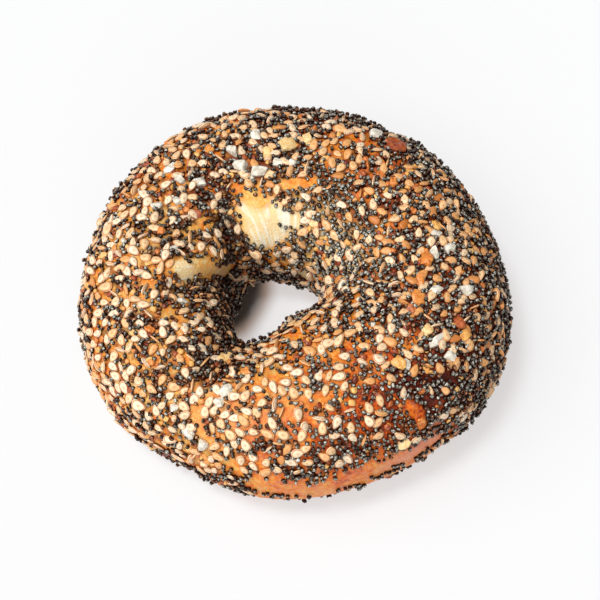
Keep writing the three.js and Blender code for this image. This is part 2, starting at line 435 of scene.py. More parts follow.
bake = BAKE_MEAN + sum(amount * ripple(smooth_skin, width, shift=-width) for width, amount in BAKE_MOTTLES)
bake = sum(layers(smooth_skin, BAKE_AND_SHADE_DRIFTS), bake) + MAHOGANY_BAKE * mahogany
bake += UNDER_BAKE * smooth_step(-skin_normals[:, 2], *UNDER_SLOPE)
golden = np.maximum(sum(layers(smooth_skin, GOLDEN_EDGES)), mask(smooth_skin, GOLDEN_BAND, edge=2))
pale = stretched * (1 - golden.clip(0, 1))
pale *= 1 - sum(layers(smooth_skin, LESS_PALE))
keep(dough_mesh, "bake", bake.clip(0, 1))
keep(dough_mesh, "pale", np.max([pale, *layers(smooth_skin, PALE_AMONG_SEEDS)], axis=0))
keep(dough_mesh, "rose", np.max(layers(smooth_skin, ROSE_TINTS), axis=0))
keep(dough_mesh, "marks", stretch_marks - BAND_STREAKS_LOST * patches["band"])
dough = add_object("dough", dough_mesh)
print("bake from", bake.min().round(2), "to", bake.max().round(2))

# %% [markdown]
# ## Shapes of the toppings
# Each kind has a few base shapes, in units of its own half size, and every seed is one of
# them, turned and scaled. A sesame seed is a flat drop with a rim. A poppy seed is a tiny
# kidney. A salt crystal is what is left between flat faces, so it is the hull of a few
# points. Dried onion and garlic are crumpled chips. A sphere is a good start for all.
# Shapes that come by the thousand have only a few dozen faces.


# %% Shape helpers
def shape_rows(shape):
    """The corners and triangles of a bmesh, which is freed."""
    bmesh.ops.triangulate(shape, faces=shape.faces)
    bmesh.ops.recalc_face_normals(shape, faces=shape.faces)
    shape.verts.index_update()
    corners = np.array([corner.co for corner in shape.verts])
    triangles = np.array([[corner.index for corner in face.verts] for face in shape.faces])
    shape.free()
    return corners, triangles


def sesame_shape(narrow, dish, dish_length=0.75, dish_width=0.55, fullness=0.85):
    """A flat drop with its point towards +X."""
    seed = bmesh.new()
    bmesh.ops.create_uvsphere(seed, u_segments=8, v_segments=7, radius=1)
    bmesh.ops.rotate(seed, verts=seed.verts, matrix=Matrix.Rotation(math.pi / 2, 3, "Y"))
    for corner in seed.verts:
        x, y, z = corner.co
        rim = abs(y) ** fullness * (1 if y > 0 else -1)
        middle = math.exp(-((y / dish_width) ** 2) - (x / dish_length) ** 2)
        taper = 1 - narrow * x - 0.2 * max(x, 0) ** 2
        corner.co = (x, rim * taper, z * (1 - dish * middle) * (1 - 0.5 * narrow * x))
    return shape_rows(seed)


def poppy_shape(notch, bend, notch_width=0.5):
    """A kidney with its notch towards -Y."""
    seed = bmesh.new()
    bmesh.ops.create_uvsphere(seed, u_segments=6, v_segments=4, radius=1)
    for corner in seed.verts:
        x, y, z = corner.co
        dent = notch * max(0, -y) * math.exp(-((x / notch_width) ** 2))
        corner.co = (x, y + dent - bend * x * x, z)
    return shape_rows(seed)


def salt_shape(random, left_out=0.6, uneven=0.15, flat_below=math.radians(14), worn=0.07):
    """A crystal lump with flat faces and worn edges."""
    crystal = bmesh.new()
    bmesh.ops.create_icosphere(crystal, subdivisions=2, radius=1)
    lost = [corner for corner in crystal.verts if random.uniform() < left_out]
    bmesh.ops.delete(crystal, geom=lost, context="VERTS")
    for corner in crystal.verts:
        corner.co = corner.co * random.uniform(1 - uneven, 1 + uneven)
    hull = bmesh.ops.convex_hull(crystal, input=crystal.verts)
    inside = {piece for piece in hull["geom_interior"] if isinstance(piece, bmesh.types.BMVert)}
    bmesh.ops.delete(crystal, geom=list(inside), context="VERTS")
    bmesh.ops.dissolve_limit(crystal, angle_limit=flat_below, verts=crystal.verts, edges=crystal.edges)
    bmesh.ops.bevel(
        crystal, geom=crystal.edges, offset=worn, affect="EDGES", segments=2, profile=0.5, material=-1
    )
    return shape_rows(crystal)


def chip_shape(random, subdivisions, crumple):
    """A crumpled flat chip."""
    chip = bmesh.new()
    bmesh.ops.create_icosphere(chip, subdivisions=subdivisions, radius=1)
    shift = Vector(random.uniform(-50, 50, 3))
    for corner in chip.verts:
        outline = 1 + 0.3 * noise.noise(corner.co * 1.3 + shift)
        lift = noise.noise(corner.co * 1.7 - shift) + 0.7 * noise.noise(corner.co * 3.4 + shift)
        square = Vector((math.copysign(abs(part) ** 0.7, part) for part in corner.co))
        corner.co = square * outline + Vector((0, 0, crumple * lift))
    return shape_rows(chip)


shape_random = np.random.default_rng(5)
SESAME_SHAPES = [sesame_shape(*values) for values in ((0.2, 0.2), (0.28, 0.28), (0.24, 0.1), (0.34, 0.24))]
POPPY_SHAPES = [poppy_shape(*values) for values in ((0.5, 0.16), (0.35, 0.05), (0.6, 0.24))]
FLAKE_SHAPES = [chip_shape(shape_random, 3, 0.8) for _ in range(8)]
BIT_SHAPES = [chip_shape(shape_random, 2, 0.35) for _ in range(6)]
for shapes in (SESAME_SHAPES, POPPY_SHAPES, FLAKE_SHAPES, BIT_SHAPES):
    print(len(shapes), "shapes with", [len(triangles) for _, triangles in shapes], "triangles")

# %% [markdown]
# ## Scattering
# Seeds that are dropped at random overlap too much, and a regular grid looks made. Real
# ones lie as close as they can without sharing a place. So spots are drawn at random over
# the skin, evenly by area, each is kept or not by how thick the seeds lie there, and one
# that is too close to a kept one is dropped. A list of round footprints says which places
# are taken by the toppings that were laid before. The spin gives its corners in another
# order each time that Blender runs, and the spots are drawn by corner, so single seeds lie
# elsewhere in each run, though as thick as before.

# %% Spots on the skin
random = np.random.default_rng(563)
dough_mesh.calc_loop_triangles()
corner_index = np.zeros(len(dough_mesh.loop_triangles) * 3, np.int32)
dough_mesh.loop_triangles.foreach_get("vertices", corner_index)
TRIANGLES = corner_index.reshape(-1, 3)
sides = skin[TRIANGLES[:, 1:]] - skin[TRIANGLES[:, :1]]
AREAS = np.linalg.norm(np.cross(sides[:, 0], sides[:, 1]), axis=1) / 2
print("the skin measures", AREAS.sum().round(), "square millimetres")


def random_spots(per_square_mm):
    """Places on the skin, and the directions out of it, evenly spread by area."""
    count = int(AREAS.sum() * per_square_mm)
    chosen = TRIANGLES[random.choice(len(AREAS), count, p=AREAS / AREAS.sum())]
    weights = random.dirichlet((1, 1, 1), count)
    places = np.einsum("nk,nkx->nx", weights, skin[chosen])
    outward = np.einsum("nk,nkx->nx", weights, skin_normals[chosen])
    return places, outward / np.linalg.norm(outward, axis=1, keepdims=True)


def kept_apart(places, gap):
    """Which places lie at least a gap from all that were kept before, in the order given."""
    cells, kept = {}, []
    around = [(i, j, k) for i in (-1, 0, 1) for j in (-1, 0, 1) for k in (-1, 0, 1)]
    for index, place in enumerate(places.tolist()):
        x, y, z = (int(part // gap) for part in place)
        close = (other for i, j, k in around for other in cells.get((x + i, y + j, z + k), ()))
        if all(math.dist(place, other) >= gap for other in close):
            cells.setdefault((x, y, z), []).append(place)
            kept.append(index)
    return np.array(kept, int)


taken = []  # footprints of the toppings laid so far, each x, y, z and radius


def take(places, axes, radii):
    """Adds three footprints along each piece's long axis."""
    length = np.linalg.norm(axes[:, :, 0], axis=1)
    reach = np.maximum(length - radii, 0)
    along = axes[:, :, 0] / length[:, None]
    for share in (-1, 0, 1):
        taken.extend(np.hstack([places + share * reach[:, None] * along, radii[:, None]]).tolist())


def free_spots(per_square_mm, share_of, chance=lambda share: share):
    """Spots drawn by how thick a topping lies there, outside the footprints that are taken."""
    places, outward = random_spots(per_square_mm)
    share = share_of(places, outward)
    drawn = random.uniform(0, 1, len(places)) < chance(share)
    places, outward, share = places[drawn], outward[drawn], share[drawn]
    footprints = KDTree(len(taken))
    for index, row in enumerate(taken):
        footprints.insert(row[:3], index)
    footprints.balance()
    widest = max(row[3] for row in taken)
    free = [
        all(gap > taken[index][3] for _, index, gap in footprints.find_range(place, widest))
        for place in places.tolist()
    ]
    return places[free], outward[free], share[free]


# %% [markdown]
# A topping lies on the skin with its flat side down, turned any way, and leans a little.
# A few sesame seeds stand on edge. `laid` works out the three axes of each piece and how
# high its middle is, from how far it leans, and `joined` makes one mesh of them all. A
# joined mesh is what an export needs, and each seed still keeps numbers of its own.


# %% Laying and joining
FULL_TURN = 6.28
LOWEST = 0.02  # nothing is pressed lower than this over the table


def always(number):
    return lambda count: np.full(count, number)


def between(low, high):
    return lambda count: random.uniform(low, high, count)


def uneven(half_sizes, count, mean, spread, limits, skew):
    """Half sizes of many pieces, each larger or smaller as a whole and then a little skewed."""
    whole = random.normal(mean, spread, (count, 1)).clip(*limits)
    return half_sizes * whole * random.normal(1, skew, (count, 3))


def laid(places, outward, sizes, lean, roll, stand):
    """The axes and the middle of each piece, turned any way.

    lean and roll are how far a piece usually tips, in radians, or its own roll. stand is what
    draws its height: 1 rests a piece on the skin, and less sinks it.
    """
    count = len(places)
    spin = random.uniform(0, FULL_TURN, count)[:, None]
    lean = random.normal(0, lean, count)[:, None]
    roll = (roll if np.ndim(roll) else random.normal(0, roll, count))[:, None]
    upright = np.where(np.abs(outward[:, 2:]) > 0.9, [[1.0, 0, 0]], [[0, 0, 1.0]])
    level = np.cross(upright, outward)
    level /= np.linalg.norm(level, axis=1, keepdims=True)
    along = np.cos(spin) * level + np.sin(spin) * np.cross(outward, level)
    side = np.cross(outward, along)
    side, up = np.cos(roll) * side + np.sin(roll) * outward, np.cos(roll) * outward - np.sin(roll) * side
    along, up = np.cos(lean) * along + np.sin(lean) * up, np.cos(lean) * up - np.sin(lean) * along
    axes = np.stack([along, side, up], axis=2) * sizes[:, None, :]
    reach = np.linalg.norm(np.einsum("nx,nxk->nk", outward, axes), axis=1)
    return axes, places + outward * (reach * stand(count))[:, None]


def joined(name, shapes, which, axes, middles, outward, **marks):
    """One mesh of many pieces. Each mark gives a number for each piece, and so does a tint."""
    marks["tint"] = random.uniform(0, 1, len(which))
    corners, triangles, owners, inside, tops, start = [], [], [], [], [], 0
    for number, (shape_corners, shape_triangles) in enumerate(shapes):
        own = np.flatnonzero(which == number)
        offsets = np.einsum("nxk,vk->nvx", axes[own], shape_corners)
        height = np.einsum("nvx,nx->nv", offsets, outward[own])
        tops.append((height / np.abs(height).max(axis=1, keepdims=True)).ravel())
        corners.append((offsets + middles[own, None]).reshape(-1, 3))
        starts = start + np.arange(len(own)) * len(shape_corners)
        triangles.append((shape_triangles[None] + starts[:, None, None]).reshape(-1, 3))
        owners.append(np.repeat(own, len(shape_corners)))
        inside.append(np.tile(shape_corners, (len(own), 1)))
        start += len(own) * len(shape_corners)
    corners, triangles, owners = (np.concatenate(rows) for rows in (corners, triangles, owners))
    corners[:, 2] = np.maximum(corners[:, 2], LOWEST)
    mesh = bpy.data.meshes.new(name)
    mesh.from_pydata((corners * MM).tolist(), [], triangles.tolist())
    mesh.shade_smooth()
    for mark, values in marks.items():
        keep(mesh, mark, values[owners])
    keep(mesh, "top", np.concatenate(tops))
    keep(mesh, "inside", np.concatenate(inside))
    print(name, "has", len(which), "pieces,", len(triangles), "triangles, top", corners[:, 2].max().round(2))
    return add_object(name, mesh)


# %% [markdown]
# ## Salt
# Coarse salt keeps its cloudy crystals through the oven. The photo shows about thirty.
# Each is placed by its pixel, with its size in pixels, and some more lie on the side that
# the photo doesn't show.

# %% Salt
PIXEL = 0.258  # millimetres that a pixel covers at the bagel
TURNED_AWAY = -0.3  # skin that faces the camera less than this isn't seen
UNSEEN_PER_MM2 = 0.2  # spots tried for what the photo doesn't show
SALT_SEEN = [
    (170, 170, 15, 9), (181, 181, 12, 11), (200, 183, 15, 13), (157, 206, 13, 10), (177, 201, 9, 8),
    (233, 153, 15, 15), (242, 166, 15, 14), (260, 171, 17, 15), (278, 163, 11, 10), (293, 163, 10, 8),
    (257, 137, 14, 12), (375, 136, 15, 13), (436, 235, 13, 9), (448, 249, 13, 12), (434, 254, 14, 9),
    (465, 291, 14, 12), (435, 291, 14, 9), (435, 342, 19, 10), (449, 356, 12, 11), (404, 363, 14, 9),
    (374, 326, 7, 6), (227, 391, 13, 12), (220, 402, 11, 10), (204, 444, 13, 11), (190, 432, 14, 11),
    (174, 407, 10, 9), (183, 302, 12, 9), (173, 248, 11, 9), (86, 282, 11, 9), (190, 215, 6, 5),
    (251, 178, 6, 5), (290, 127, 6, 5), (124, 241, 6, 5),
]  # x and y of the pixel, length and width in pixels
SALT_UNSEEN = 14
SALT_THICKNESS = 0.72
SALT_FULLER = 1.15  # a crystal is smaller than the sphere it is cut from
SALT_FOOTPRINT = 0.95


def placed(rows, count, gap, lowest):
    """Spots at the rows' pixels, then some on the back and the sides, and how many those are."""
    seen = [seen_at(row[:2], tree) for row in rows]
    places, outward = random_spots(UNSEEN_PER_MM2)
    hidden = (places[:, 2] > lowest) & (outward @ TOWARDS_CAMERA < TURNED_AWAY)
    places, outward = places[hidden], outward[hidden]
    kept = kept_apart(places, gap)[:count]
    places = np.vstack([[place for place, _ in seen], places[kept]])
    outward = np.vstack([[direction for _, direction in seen], outward[kept]])
    return places, outward, len(kept)


places, outward, unseen = placed(SALT_SEEN, SALT_UNSEEN, gap=9, lowest=8)
half = np.array([row[2:] for row in SALT_SEEN]) * PIXEL / 2 * SALT_FULLER
half = np.vstack([half, np.stack([random.uniform(1.2, 2, unseen), random.uniform(1, 1.7, unseen)], axis=1)])
sizes = np.hstack([half, SALT_THICKNESS * half[:, 1:]])
axes, middles = laid(places, outward, sizes, lean=0.2, roll=0.2, stand=always(0.45))
shapes = [salt_shape(shape_random) for _ in places]
salt = joined("salt", shapes, np.arange(len(shapes)), axes, middles, outward)
take(places, axes, half[:, 1] * SALT_FOOTPRINT)

# %% [markdown]
# ## Onion and garlic
# The dried onion and garlic are chips of a few millimetres, from pale gold to toasted
# orange and red-brown. The clearest ones are placed by their pixel, with how toasted they
# are, and smaller crumbs are scattered among the seeds.

# %% Onion and garlic
FLAKES_SEEN = [
    (288, 146, 17, 0.1), (308, 141, 13, 0.05), (268, 154, 13, 0.2), (249, 146, 8, 0.85), (303, 118, 11, 0.6),
    (395, 148, 22, 0.84), (362, 174, 9, 0.8), (380, 176, 10, 0.65), (393, 183, 10, 0.6), (408, 173, 10, 0.35),
    (475, 213, 13, 0.45), (436, 226, 11, 0.35), (426, 261, 14, 0.6), (420, 281, 12, 0.6),
    (418, 299, 16, 0.55), (411, 310, 10, 0.75), (458, 323, 13, 0.8), (464, 336, 12, 0.4),
    (398, 363, 13, 0.35), (427, 331, 11, 0.1), (403, 442, 11, 0.05), (227, 360, 14, 0.15),
    (314, 223, 9, 0.05), (421, 420, 9, 0.6), (233, 203, 8, 0.5),
    (210, 150, 11, 0.5), (276, 129, 9, 0.45), (160, 232, 9, 0.65), (150, 262, 9, 0.3), (104, 256, 9, 0.2),
    (188, 206, 9, 0.75), (197, 214, 8, 0.85), (150, 330, 9, 0.6), (138, 390, 8, 0.5), (246, 372, 10, 0.55),
]  # x and y of the pixel, size in pixels, and how toasted it is from 0 to 1
FLAKES_UNSEEN = 45
FLAKE_WIDTH = 0.78
FLAKE_THICKNESS = 0.34
FLAKE_FULLER = 1.08  # part of each chip is under seeds
FLAKE_FOOTPRINT = 0.75

places, outward, unseen = placed(FLAKES_SEEN, FLAKES_UNSEEN, gap=5, lowest=3)
count = len(places)
half = np.array([row[2] for row in FLAKES_SEEN]) * PIXEL / 2 * FLAKE_FULLER
half = np.concatenate([half, random.uniform(1, 2.2, unseen)])
width = FLAKE_WIDTH * random.uniform(0.8, 1.2, count)
height = FLAKE_THICKNESS * random.uniform(0.8, 1.5, count)
sizes = np.stack([half, half * width, half * height], axis=1)
axes, middles = laid(places, outward, sizes, lean=0.25, roll=0.25, stand=always(0.7))
toast = np.concatenate([[row[3] for row in FLAKES_SEEN], random.uniform(0, 0.9, unseen)])
which = random.integers(0, len(FLAKE_SHAPES), count)
flakes = joined("onion_flakes", FLAKE_SHAPES, which, axes, middles, outward, toast=toast)
take(places, axes, half * FLAKE_FOOTPRINT)

# %% [markdown]
# ## Sesame
# Sesame seeds are the pale drops, about 3.2 mm long. They lie thickest on the left and
# along the right rim, and thinly in the folds by the hole, on the dark skin at the lower
# right and along the foot of the front. The thickness is a share of the skin, raised or
# lowered along lines of pixels, with a little noise so that they gather in loose groups.

# %% Where the seeds lie
SESAME_MEAN = 0.4
SESAME_DRIFTS = [
    (110, 262, 170, 262, 215, 255, 8, 0.3), (85, 260, 82, 320, 95, 370, 9, 0.35),
    (110, 220, 150, 170, 200, 135, 9, 0.2), (95, 330, 160, 345, 200, 380, 9, 0.2),
    (200, 395, 245, 410, 215, 445, 7, 0.3), (450, 210, 478, 270, 480, 320, 9, 0.3),
    (330, 180, 400, 240, 430, 270, 12, 0.12), (150, 230, 130, 330, 160, 400, 230, 420, 18, 0.12),
    (400, 440, 440, 470, 300, 505, 6, -0.2), (150, 460, 192, 487, 235, 503, 262, 507, 7, -0.42),
    (150, 440, 200, 470, 240, 485, 6, -0.12), (300, 345, 355, 365, 7, -0.1),
    (385, 285, 400, 300, 6, -0.08), (335, 262, 420, 268, 5, 0.2),
    (340, 170, 375, 200, 330, 215, 8, -0.12), (430, 375, 400, 405, 450, 400, 9, -0.3),
    (222, 290, 232, 340, 6, -0.25), (216, 186, 226, 215, 232, 250, 4, -0.4),
    (250, 262, 300, 268, 4, -0.22), (280, 345, 320, 325, 5, 0.15), (290, 440, 350, 450, 10, -0.1),
    (300, 372, 340, 390, 7, -0.12),
]
SESAME_CLUMPS = [(7, 0.24), (3, 0.14)]  # width and amount
SESAME_PER_MM2 = 0.5  # seeds tried where the thickness is 1
SESAME_GAP = 2.2
SESAME_HALF = np.array([1.6, 1.06, 0.41])  # half of its length, its width at the middle and its thickness
SESAME_ON_EDGE = 0.19
SESAME_UNDER = 0.25  # share that the flat underside carries
SESAME_FOOTPRINT = 0.95
EDGE_FOOTPRINT = 0.65  # of a seed that stands on edge
BARE_FROM = 0.1  # share of bareness past which only poppy seeds lie


def under_share(outward):
    """1 on the flat underside, 0 on the sides and the top."""
    return smooth_step(-outward[:, 2], 0.3, 0.8)


def thickness(places, mean, drifts, clumps, shift):
    """How thick a kind of seed lies, about 0 to 1, before bare places are taken out."""
    share = mean + sum(layers(places, drifts))
    return share + sum(amount * ripple(places, size, shift) for size, amount in clumps)


def sesame_share(places, outward):
    share = thickness(places, SESAME_MEAN, SESAME_DRIFTS, SESAME_CLUMPS, 31)
    return share * (bare_share(places) < BARE_FROM) * (1 - (1 - SESAME_UNDER) * under_share(outward))


# %% Sesame
ON_EDGE_ROLL = (0.9, 1.5)  # radians that a seed on edge is rolled by
FLAT_ROLL = 0.2
SESAME_TOAST = 0.28  # mean
SESAME_TOASTED = [
    (446, 184, 488, 244, 495, 320, 470, 380, 11, 0.3), (120, 260, 150, 340, 230, 410, 18, -0.14),
    (330, 150, 390, 230, 420, 300, 14, 0.14),
]
UNDER_TOASTED = 0.25
TOAST_SPREAD = 0.23

places, outward, _ = free_spots(SESAME_PER_MM2, sesame_share)
kept = kept_apart(places, SESAME_GAP)
places, outward, count = places[kept], outward[kept], len(kept)
on_edge = random.uniform(0, 1, count) < SESAME_ON_EDGE * (places[:, 2] > 3)
roll = np.where(on_edge, random.uniform(*ON_EDGE_ROLL, count), np.abs(random.normal(0, FLAT_ROLL, count)))
roll *= random.choice([-1, 1], count)
sizes = uneven(SESAME_HALF, count, mean=0.99, spread=0.09, limits=(0.75, 1.2), skew=0.06)
axes, middles = laid(
    places, outward, sizes, lean=0.16, roll=roll,
    stand=lambda count: np.where(on_edge, between(0.4, 0.75)(count), between(0.75, 1.5)(count)),
)
toast = SESAME_TOAST + sum(layers(places, SESAME_TOASTED)) + UNDER_TOASTED * under_share(outward)
toast = (toast + random.normal(0, TOAST_SPREAD, count)).clip(0, 1)
which = random.integers(0, len(SESAME_SHAPES), count)
sesame = joined("sesame_seeds", SESAME_SHAPES, which, axes, middles, outward, toast=toast)
take(places, axes, np.where(on_edge, EDGE_FOOTPRINT, SESAME_FOOTPRINT))

# %% [markdown]
# ## Crumbs
# Between the seeds lie crumbs of onion and garlic, a millimetre or two wide, from amber to
# red-brown. They are the same chips, only smaller, and most lie in the upper left and
# along the right.

# %% Crumbs
CRUMB_MEAN = 0.3
CRUMB_DRIFTS = [
    (120, 200, 170, 160, 250, 125, 14, 0.35), (100, 300, 150, 350, 12, 0.35),
    (130, 400, 180, 440, 12, 0.3), (400, 190, 420, 290, 400, 330, 9, 0.4), (470, 230, 485, 330, 8, 0.2),
    (300, 420, 300, 460, 12, -0.2), (222, 290, 232, 340, 6, -0.3),
]
CRUMB_CLUMPS = [(5, 0.3)]
CRUMBS_PER_MM2 = 0.3
CRUMBS_UNDER = 0.4
CRUMB_FOOTPRINT = 0.8


def crumb_share(places, outward):
    share = thickness(places, CRUMB_MEAN, CRUMB_DRIFTS, CRUMB_CLUMPS, 47)
    return share * (bare_share(places) < BARE_FROM) * (1 - (1 - CRUMBS_UNDER) * under_share(outward))


places, outward, _ = free_spots(CRUMBS_PER_MM2, crumb_share)
count = len(places)
half = random.uniform(0.35, 0.95, count)
width = random.uniform(0.6, 1, count)
height = random.uniform(0.3, 0.6, count)
sizes = np.stack([half, half * width, half * height], axis=1)
axes, middles = laid(places, outward, sizes, lean=0.3, roll=0.3, stand=between(0.4, 1))
which = random.integers(0, len(BIT_SHAPES), count)
toast = random.uniform(0.25, 1, count)
crumbs = joined("onion_crumbs", BIT_SHAPES, which, axes, middles, outward, toast=toast)
take(places, axes, half * CRUMB_FOOTPRINT)

# %% [markdown]
# ## Poppy
# Poppy seeds are about a millimetre, slate blue to black, and thousands of them fill what
# the others leave free. They are packed tightest in the hole and along the right rim. In
# the thickest drifts a second layer lies on the first. Four meshes share them by colour,
# because one would be too large. Where a drift is thick, and in patches on the left and
# at the top, the skin is painted dark, as shade between the seeds and partly as oil, so
# it gets a number for that too.

# %% Where the poppy seeds lie
POPPY_MEAN = 0.95
POPPY_DRIFTS = [
    (215, 285, 232, 320, 228, 350, 7, 0.5), (228, 256, 262, 263, 4, 0.5), (268, 256, 282, 262, 5, -0.25),
    (278, 260, 312, 268, 7, -0.35), (204, 250, 224, 259, 6, -0.4),
    (216, 186, 226, 215, 232, 250, 4, 0.42), (240, 130, 285, 130, 290, 165, 255, 165, 6, 0.25),
    (325, 132, 385, 160, 6, -0.22), (458, 296, 458, 345, 7, 0.5), (425, 235, 440, 262, 7, 0.3),
    (325, 408, 400, 416, 8, -0.32), (252, 400, 262, 412, 7, -0.4), (232, 434, 262, 445, 6, 0.4),
    (370, 462, 398, 455, 6, -0.35), (352, 382, 400, 386, 6, 0.36), (125, 405, 160, 412, 6, 0.15),
    (130, 388, 165, 390, 7, -0.22), (132, 188, 142, 218, 7, -0.3), (335, 188, 368, 212, 7, -0.22),
    (384, 334, 396, 345, 6, -0.3), (432, 340, 442, 362, 6, -0.25), (282, 430, 292, 440, 5, 0.15),
    (306, 380, 318, 412, 5, 0.22), (405, 432, 420, 440, 5, 0.2), (450, 405, 465, 410, 6, -0.25),
    (178, 225, 185, 255, 5, 0.3), (276, 236, 300, 244, 4, 0.6), (318, 300, 350, 305, 6, -0.25),
    (395, 150, 410, 180, 6, 0.2), (345, 352, 385, 362, 7, -0.42), (222, 180, 238, 186, 5, -0.3),
    (450, 272, 470, 290, 6, -0.6), (456, 355, 468, 368, 6, 0.35), (205, 432, 215, 440, 4, 0.35),
    (155, 165, 168, 172, 6, -0.25), (325, 195, 345, 215, 6, 0.45), (262, 338, 300, 332, 5, -0.3),
    (300, 230, 345, 252, 315, 282, 8, -0.14), (345, 150, 360, 180, 8, -0.1),
    (460, 200, 488, 270, 488, 350, 10, 0.7), (440, 370, 415, 380, 7, 0.3), (398, 286, 428, 280, 9, 0.75),
    (410, 180, 440, 205, 7, 0.2), (300, 114, 384, 128, 5, 0.2), (250, 425, 300, 400, 285, 370, 11, -0.42),
    (160, 200, 130, 290, 150, 380, 200, 430, 20, -0.16),
    (110, 420, 150, 452, 192, 480, 235, 499, 262, 505, 8, -0.36), (82, 250, 80, 320, 92, 380, 9, -0.48),
    (180, 140, 235, 128, 7, -0.25), (350, 132, 390, 165, 7, -0.4), (378, 400, 392, 440, 6, -0.42),
    (150, 325, 178, 332, 7, -0.15), (108, 250, 108, 380, 7, -0.34),
    (135, 160, 170, 130, 250, 108, 8, -0.4), (100, 385, 135, 430, 185, 450, 8, -0.35),
    (182, 248, 190, 260, 4, 0.45), (190, 350, 212, 365, 6, 0.4), (275, 455, 350, 465, 7, -0.05),
    (270, 452, 305, 460, 6, -0.2), (110, 265, 150, 280, 8, -0.15),
    (190, 375, 212, 410, 225, 425, 8, -0.24), (250, 350, 320, 355, 7, -0.32),
    (260, 470, 210, 470, 170, 450, 6, -0.3), (262, 500, 300, 505, 340, 501, 380, 488, 430, 464, 9, -0.62),
    (190, 230, 205, 222, 5, -0.25),
]
POPPY_CLUMPS = [(8, 0.35), (3.4, 0.8)]
POPPY_PER_MM2 = 8
POPPY_GAP = 0.95
POPPY_UNDER = 0.28
POPPY_LEAST = 0.04  # thickness below which no seed lies
POPPY_STEEP, POPPY_EVEN = 0.86, 0.14  # parts of the chance that go with its cube and with itself
SECOND_LAYER_OVER = 0.85  # thickness past which a second layer starts
SECOND_LAYER_GAP = 1.5
SECOND_LAYER_RISE = 1.2  # how much higher it stands, in half thicknesses of a seed


def poppy_share(places, outward):
    share = thickness(places, POPPY_MEAN, POPPY_DRIFTS, POPPY_CLUMPS, 71).clip(0, 1)
    return share * (1 - bare_share(places)) * (1 - (1 - POPPY_UNDER) * under_share(outward))


def poppy_chance(share):
    """Thin places get thinner still, so that the drifts stand out."""
    return np.where(share > POPPY_LEAST, POPPY_STEEP * share**3 + POPPY_EVEN * share, 0)


# %% Poppy
POPPY_HALF = np.array([0.69, 0.61, 0.54])
PALER_FROM, PALER_TO = -25, 15  # paler seeds grow more common between these places along X
PALER = [(218, 275, 228, 345, 10, -1), (222, 190, 234, 246, 4, -1), (300, 230, 345, 260, 10, 1)]
# Share of the grey, the slate and the black seeds, and how much it grows where they are paler. The
# rest is brown.
KIND_SHARES = [(0.14, 0.18), (0.24, 0.08), (0.4, -0.16)]

places, outward, share = free_spots(POPPY_PER_MM2, poppy_share, poppy_chance)
lower = kept_apart(places, POPPY_GAP)
thick = np.flatnonzero((share > SECOND_LAYER_OVER) & (places[:, 2] > 2))
upper = thick[kept_apart(places[thick], SECOND_LAYER_GAP)]
print("poppy seeds in the lower and upper layer", len(lower), len(upper))
kept, layer = np.concatenate([lower, upper]), np.repeat([0, 1], [len(lower), len(upper)])
places, outward, count = places[kept], outward[kept], len(kept)
sizes = uneven(POPPY_HALF, count, mean=1, spread=0.08, limits=(0.78, 1.25), skew=0.05)
axes, middles = laid(
    places, outward, sizes, lean=0.5, roll=0.8,
    stand=lambda count: between(0.45, 0.95)(count) + SECOND_LAYER_RISE * layer,
)
which = random.integers(0, len(POPPY_SHAPES), count)
paler = sum(layers(places, PALER), smooth_step(places[:, 0], PALER_FROM, PALER_TO))
grey, slate, black = (mean + more * paler for mean, more in KIND_SHARES)
kind = (random.uniform(0, 1, count) > np.cumsum([grey, slate, black], axis=0)).sum(axis=0)
poppies = []
for number, name in enumerate(("poppy_grey", "poppy_slate", "poppy_black", "poppy_brown")):
    own = kind == number
    poppies.append(joined(name, POPPY_SHAPES, which[own], axes[own], middles[own], outward[own]))

# %% Painted shade between the seeds
# Painted shade between the seeds, partly oil: the skin is darkened where poppy seeds lie thick and in patches
# on the left and at the top, and kept lighter right of the pale patch and on the pale band.
SHADED_PATCHES = [
    (150, 190, 100, 280, 110, 370, 160, 440, 16, 1), (330, 125, 370, 190, 11, 1),
    (255, 385, 345, 365, 275, 425, 9, 0.4),
]
GAP_SHADE_FROM, GAP_SHADE_FULL = 0.45, 0.95  # thickness of the poppy seeds over the skin
PATCH_SHADE_DARKNESS = 0.8
PATCH_SHADE_SIZE = 1.7
PATCH_SHADE_FROM, PATCH_SHADE_FULL = -0.15, 0.3  # of the noise that makes the painted shade patchy
UNSHADED = [(308, 214, 345, 262, 9, 0.8), (184, 270, 236, 273, 3.6, 0.85), (296, 272, 308, 280, 3, 0.85)]

crowd = smooth_step(poppy_share(skin, skin_normals), GAP_SHADE_FROM, GAP_SHADE_FULL)
shaded_patches = np.max(layers(skin, SHADED_PATCHES), axis=0) * (1 - bare_share(skin))
patchy = smooth_step(ripple(skin, PATCH_SHADE_SIZE, 91), PATCH_SHADE_FROM, PATCH_SHADE_FULL)
crowd = np.maximum(crowd, PATCH_SHADE_DARKNESS * shaded_patches * patchy)
for unshaded in layers(skin, UNSHADED):
    crowd *= 1 - unshaded
keep(dough_mesh, "crowd", crowd)
print("greasy share of the skin", crowd.mean().round(3))

# %% [markdown]
# ## Writing materials as maths
# A material is a tree of nodes. Wiring each Math node by hand is slow to write and to
# read, so a small class wraps a socket, and Python's own operators add the nodes. One
# method makes every other node. Colours are written as the photo shows them and turned
# into the linear values that the shader needs.


